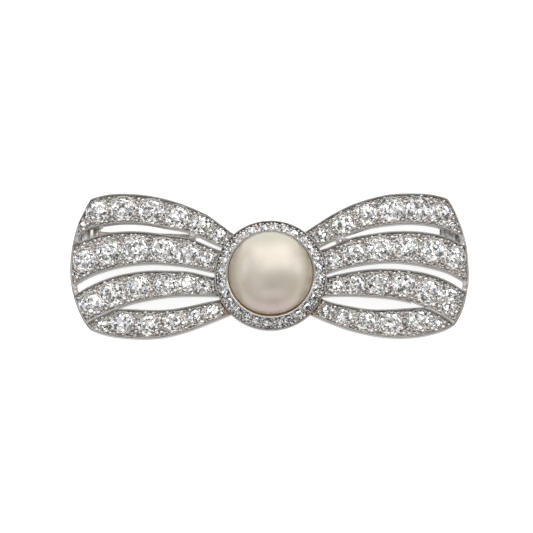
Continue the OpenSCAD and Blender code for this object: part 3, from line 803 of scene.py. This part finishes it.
    # Painted reflection of gold, in patches where the lowest ribbons run into the ring: it ends within a
    # millimetre of it
    near_ring = add(tree, "ShaderNodeMapRange", {0: reach, 1: 9.3, 2: 8.7})
    low_down = add(tree, "ShaderNodeMapRange", {0: axes.outputs["Y"], 1: -3.4, 2: -4.2})
    not_last = add(tree, "ShaderNodeMapRange", {0: axes.outputs["Y"], 1: -6.6, 2: -6.2})
    outside = add(tree, "ShaderNodeMath", {0: reach, 1: RING_FIELD_END}, operation="GREATER_THAN")
    patchy = add(tree, "ShaderNodeMapRange", {0: grit, 1: 0.4, 2: 0.6, 3: 0.2, 4: 0.8})
    joint = near_ring
    for part in (low_down, not_last, outside, patchy):
        joint = add(tree, "ShaderNodeMath", {0: joint, 1: part}, operation="MULTIPLY")
    colour = add(tree, "ShaderNodeMix", {
        "Factor": joint, 6: metal.outputs[2], 7: solid(colours.reflection)}, data_type="RGBA")
    dull = add(tree, "ShaderNodeMapRange", {0: grit, 1: 0.3, 2: 0.7, 3: 0.22, 4: 0.42})
    gloss = add(tree, "ShaderNodeMix", {"Factor": polished, 2: dull, 3: 0.2}, data_type="FLOAT")
    gloss = add(tree, "ShaderNodeMix", {"Factor": fitting, 2: gloss, 3: 0.6}, data_type="FLOAT")
    depth = add(tree, "ShaderNodeMapRange", {0: polished, 1: 0.0, 2: 1.0, 3: 0.9, 4: 0.04})
    relief = add(tree, "ShaderNodeBump", {
        "Height": marks, "Strength": depth, "Distance": 0.1 * MM}, invert=True)
    return finish_material(material, {
        "Base Color": colour.outputs[2], "Metallic": 1.0, "Roughness": gloss, "Normal": relief})


def white_gold_material(colours):
    """Drawn and polished white gold of the pin and its fittings, slightly yellower than the platinum."""
    material, tree, scaled = start_material("drawn_white_gold")
    # Draw marks run along the wire, so the pattern is stretched along X
    drawn = add(tree, "ShaderNodeMapping", {"Vector": scaled, "Scale": (0.1, 6.0, 6.0)})
    marks = add(tree, "ShaderNodeTexNoise", {"Vector": drawn, "Scale": 2.0, "Detail": 3.0})
    dull = add(tree, "ShaderNodeMapRange", {0: marks, 1: 0.3, 2: 0.7, 3: 0.16, 4: 0.32})
    relief = add(tree, "ShaderNodeBump", {"Height": marks, "Strength": 0.15, "Distance": 0.03 * MM})
    return finish_material(material, {
        "Base Color": solid(colours.white_gold), "Metallic": 1.0, "Roughness": dull, "Normal": relief})


def diamond_material(colour, name, top_share, thin_from, mirror_share):
    """Old-cut diamond: clear and colourless, polished flat facets that throw white and black patches.

    A stone's top gets painted shade, to be as bright as top_share of its edge. The facets that flash as
    mirrors do are a mirror_share at its edge, and grow fewer from thin_from millimetres over the wing's
    field.
    """
    material, tree, scaled = start_material(name)
    # An old-cut stone's facets are cut by hand and mirror one another: patches about a third of a
    # millimetre wide, each turned a little its own way
    patches = add(tree, "ShaderNodeTexVoronoi", {"Vector": scaled, "Scale": 3.0}, feature="F1")
    chance = patches.outputs["Color"]
    middle = add(tree, "ShaderNodeVectorMath", {0: chance, 1: (0.5, 0.5, 0.5)}, operation="SUBTRACT")
    turn = add(tree, "ShaderNodeVectorMath", {0: middle, "Scale": 0.25}, operation="SCALE")
    # Faint blue and peach flashes, as white light breaks up in the stone
    flash = add(tree, "ShaderNodeVectorMath", {0: middle, "Scale": 0.1}, operation="SCALE")
    white = add(tree, "ShaderNodeVectorMath", {0: flash, 1: colour}, operation="ADD")
    # Painted shade: a stone's flat top is made darker than its edge, which throws back more light
    axes = add(tree, "ShaderNodeSeparateXYZ", {0: scaled})
    sideways = add(tree, "ShaderNodeMath", {0: axes.outputs["X"]}, operation="ABSOLUTE")
    lean = math.sin(WING_LEAN)
    z = axes.outputs["Z"]
    height = add(tree, "ShaderNodeMath", {0: sideways, 1: lean, 2: z}, operation="MULTIPLY_ADD")
    level = WING_BACK + WING_FIELD
    depth = add(tree, "ShaderNodeMapRange", {
        0: height, 1: level + 0.05, 2: level + 0.4, 3: 1.0, 4: top_share})
    white = add(tree, "ShaderNodeVectorMath", {0: white, "Scale": depth}, operation="SCALE")
    split = add(tree, "ShaderNodeSeparateColor", {0: chance})
    # Some facets look black, where they mirror the dark side of the stone
    black = add(tree, "ShaderNodeMapRange", {0: split.outputs["Green"], 1: 0.08, 2: 0.1, 3: 0.2, 4: 1.0})
    white = add(tree, "ShaderNodeVectorMath", {0: white, "Scale": black}, operation="SCALE")
    # Others flash as a mirror does, where all the light is thrown back: more of them near the edge
    chosen = add(tree, "ShaderNodeMapRange", {0: split.outputs["Blue"], 1: 0.4, 2: 0.42, 3: 0.0, 4: 1.0})
    flashes = add(tree, "ShaderNodeMapRange", {
        0: height, 1: level + thin_from, 2: level + thin_from + 0.5, 3: mirror_share, 4: 0.35})
    mirror = add(tree, "ShaderNodeMath", {0: chosen, 1: flashes}, operation="MULTIPLY")
    facing = add(tree, "ShaderNodeNewGeometry")
    turned = add(tree, "ShaderNodeVectorMath", {0: facing.outputs["Normal"], 1: turn}, operation="ADD")
    normal = add(tree, "ShaderNodeVectorMath", {0: turned}, operation="NORMALIZE")
    return finish_material(material, {
        "Base Color": white, "Roughness": 0.0, "IOR": 2.417, "Transmission Weight": 1.0,
        "Metallic": mirror, "Normal": normal})


class BROOCH_OT_metal(bpy.types.Operator):
    """Finishes the platinum body and the white gold pin, rivet and catch"""

    bl_idname = "brooch.metal"
    bl_label = "Metal"

    def execute(self, context):
        colours = context.scene.brooch_colours
        dress(frame["nodes"]["bow_frame"], set_platinum_material(colours))
        drawn = white_gold_material(colours)
        for node in ("hinge_rivet", "pin_stem", "catch_sleeve"):
            dress(frame["nodes"][node], drawn)
        return {"FINISHED"}


class BROOCH_OT_stones(bpy.types.Operator):
    """Finishes the old-cut stones of the wings and the ring"""

    bl_idname = "brooch.stones"
    bl_label = "Stones"

    def execute(self, context):
        colours = context.scene.brooch_colours
        wing_diamond = diamond_material(colours.stones, "old_cut_diamond", 0.79, 0.1, 0.95)
        for node in WING_ROWS["left"] + WING_ROWS["right"]:
            dress(frame["nodes"][node], wing_diamond)
        # The ring's small stones are too small to look darker on top
        ring_diamond = diamond_material(colours.ring_stones, "small_old_cut_diamond", 1.0, 4.0, 0.45)
        dress(frame["nodes"]["ring_stones"], ring_diamond)
        return {"FINISHED"}


def floor_material(colour, glow):
    """Matt white acrylic of a lit table, which glows a little itself and so stays clear of shadow."""
    material, tree, scaled = start_material("matt_white_acrylic")
    grain = add(tree, "ShaderNodeTexNoise", {"Vector": scaled, "Scale": 0.5, "Detail": 3.0})
    dull = add(tree, "ShaderNodeMapRange", {0: grain, 1: 0.3, 2: 0.7, 3: 0.75, 4: 0.85})
    return finish_material(material, {
        "Base Color": solid(colour), "Roughness": dull, "Emission Color": (1.0, 1.0, 1.0, 1.0),
        "Emission Strength": glow})


def softbox(name, direction, distance, width, height, brightness, colour):
    """An area light that faces the brooch from a direction, with the brightness of its face given."""
    light = bpy.data.lights.new(name, "AREA")
    light.shape = "RECTANGLE"
    light.size = width
    light.size_y = height
    light.energy = brightness * math.pi * width * height
    light.color = colour
    lamp = bpy.data.objects.new(name, light)
    bpy.context.collection.objects.link(lamp)
    way = Vector(direction).normalized()
    lamp.location = Vector((0, 0, 5 * MM)) + way * distance
    lamp.rotation_euler = way.to_track_quat("Z", "Y").to_euler()
    lamp.visible_camera = False


def lay_floor(stage):
    """Lays the floor, which sweeps up behind the brooch as a sheet of acrylic does on its table."""
    deselect()
    bpy.ops.mesh.primitive_plane_add(size=FLOOR_WIDTH, location=(0, 0, 0))
    floor = bpy.context.object
    floor.name = "floor"
    bpy.ops.object.mode_set(mode="EDIT")
    bpy.ops.mesh.select_all(action="DESELECT")
    bpy.ops.object.mode_set(mode="OBJECT")
    for edge in floor.data.edges:
        edge.select = all(floor.data.vertices[i].co.y > 0 for i in edge.vertices)
    bpy.ops.object.mode_set(mode="EDIT")
    bpy.ops.mesh.select_mode(type="EDGE")
    for step in range(SWEEP_STEPS):
        angle = math.radians(90 / SWEEP_STEPS * (step + 0.5))
        move = (0, SWEEP_STEP * math.cos(angle), SWEEP_STEP * math.sin(angle))
        bpy.ops.mesh.extrude_region_move(TRANSFORM_OT_translate={"value": move})
    bpy.ops.object.mode_set(mode="OBJECT")
    bpy.ops.object.shade_smooth()
    dress(floor, floor_material(stage.floor, stage.floor_glow))


def hang_lights(stage):
    """Hangs a bank of panels overhead, and a softbox at either side and in front."""
    cool = linear("#e0eaff")
    warm = linear("#fffbf6")
    # Gaps between the panels let the stones mirror light and dark by turns
    middle = Vector((0.13, 0.70, 0.72)).normalized() * LIGHT_DISTANCE
    right = Vector((0, 1, 0)).cross(middle).normalized()
    up = middle.normalized().cross(right)
    for column in range(BANK_COLUMNS):
        for row in range(BANK_ROWS):
            across = right * (column - (BANK_COLUMNS - 1) / 2) * BANK_PITCH[0]
            place = middle + across + up * (row - (BANK_ROWS - 1) / 2) * BANK_PITCH[1]
            name = f"overhead_panel_{column}_{row}"
            softbox(name, place, place.length, *BANK_PANEL, stage.key, warm)
    softbox("left_softbox", (-0.89, 0.27, 0.37), LIGHT_DISTANCE, 0.34, 0.2, stage.sides, cool)
    softbox("right_softbox", (0.92, 0.27, 0.27), LIGHT_DISTANCE, 0.34, 0.2, stage.sides, cool)
    softbox("front_softbox", (0.05, -0.84, 0.50), LIGHT_DISTANCE, 0.6, 0.24, stage.front, warm)


def pitch_tent(scene):
    """Stands a white tent of patched cloth round the brooch, with a dark opening beside the camera."""
    world = scene.world or bpy.data.worlds.new("studio")
    scene.world = world
    world.use_nodes = True
    tree = world.node_tree
    tree.nodes.clear()
    way = add(tree, "ShaderNodeTexCoord").outputs["Generated"]
    cells = add(tree, "ShaderNodeTexVoronoi", {"Vector": way, "Scale": 7.0}, feature="F1")
    split = add(tree, "ShaderNodeSeparateColor", {0: cells.outputs["Color"]})
    patch = add(tree, "ShaderNodeMapRange", {0: split.outputs["Red"], 1: 0.4, 2: 0.6, 3: 0.15, 4: 1.25})
    beside = Vector((0.20, -0.42, 0.88)).normalized()
    front = add(tree, "ShaderNodeVectorMath", {0: way, 1: beside}, operation="DOT_PRODUCT")
    near = front.outputs["Value"]
    opening = add(tree, "ShaderNodeMapRange", {0: near, 1: 0.86, 2: 0.98, 3: 1.0, 4: 0.35})
    cloth = add(tree, "ShaderNodeMath", {0: patch, 1: opening}, operation="MULTIPLY")
    surround = scene.brooch_stage.surround
    glow = add(tree, "ShaderNodeMath", {0: cloth, 1: surround}, operation="MULTIPLY")
    air = add(tree, "ShaderNodeBackground", {"Color": (1.0, 1.0, 1.0, 1.0), "Strength": glow})
    add(tree, "ShaderNodeOutputWorld", {"Surface": air})


def set_camera(scene):
    """Sets the photograph's view: almost straight down, leaning a little from the brooch's lower edge."""
    towards = Vector((0, -0.225, 0.974)).normalized()
    target = Vector((-0.62, 1.297, 5.65)) * MM
    lens = bpy.data.cameras.new("camera")
    lens.sensor_width = 36
    # From its distance, the lens takes in 80 mm across the square picture
    lens.lens = lens.sensor_width * CAMERA_DISTANCE / SEEN_WIDTH
    lens.clip_start = 0.01
    lens.clip_end = 10
    camera = bpy.data.objects.new("camera", lens)
    bpy.context.collection.objects.link(camera)
    camera.location = target + towards * CAMERA_DISTANCE
    camera.rotation_euler = towards.to_track_quat("Z", "Y").to_euler()
    scene.camera = camera
    scene.view_settings.view_transform = "Standard"


class BROOCH_OT_stage(bpy.types.Operator):
    """Lays the floor and sets the softboxes, the surround and the camera"""

    bl_idname = "brooch.stage"
    bl_label = "Stage"

    def execute(self, context):
        scene = context.scene
        lay_floor(scene.brooch_stage)
        hang_lights(scene.brooch_stage)
        pitch_tent(scene)
        set_camera(scene)
        return {"FINISHED"}


class BROOCH_PT_panel(bpy.types.Panel):
    """Lists the steps that dress the brooch"""

    bl_idname = "BROOCH_PT_panel"
    bl_label = "Bow Brooch"
    bl_space_type = "VIEW_3D"
    bl_region_type = "UI"
    bl_category = "Brooch"

    def draw(self, context):
        scene = context.scene
        for group in (scene.brooch_sizes, scene.brooch_colours, scene.brooch_stage):
            box = self.layout.box()
            for name in group.__annotations__:
                box.prop(group, name)
        for step in STEPS:
            self.layout.operator(step.bl_idname)


STEPS = (BROOCH_OT_pearl, BROOCH_OT_lip, BROOCH_OT_rims, BROOCH_OT_edges, BROOCH_OT_grains, BROOCH_OT_metal,
         BROOCH_OT_stones, BROOCH_OT_stage)
CLASSES = (BroochSizes, BroochColours, BroochStage) + STEPS + (BROOCH_PT_panel,)


def register():
    for cls in CLASSES:
        bpy.utils.register_class(cls)
    bpy.types.Scene.brooch_sizes = bpy.props.PointerProperty(type=BroochSizes)
    bpy.types.Scene.brooch_colours = bpy.props.PointerProperty(type=BroochColours)
    bpy.types.Scene.brooch_stage = bpy.props.PointerProperty(type=BroochStage)


def unregister():
    del bpy.types.Scene.brooch_stage
    del bpy.types.Scene.brooch_colours
    del bpy.types.Scene.brooch_sizes
    for cls in reversed(CLASSES):
        bpy.utils.unregister_class(cls)


def main():
    """Registers the add-on and dresses the brooch step by step."""
    register()
    bpy.ops.brooch.pearl()
    bpy.ops.brooch.lip()
    bpy.ops.brooch.rims()
    bpy.ops.brooch.edges()
    bpy.ops.brooch.grains()
    bpy.ops.brooch.metal()
    bpy.ops.brooch.stones()
    bpy.ops.brooch.stage()


if __name__ == "__main__":
    main()
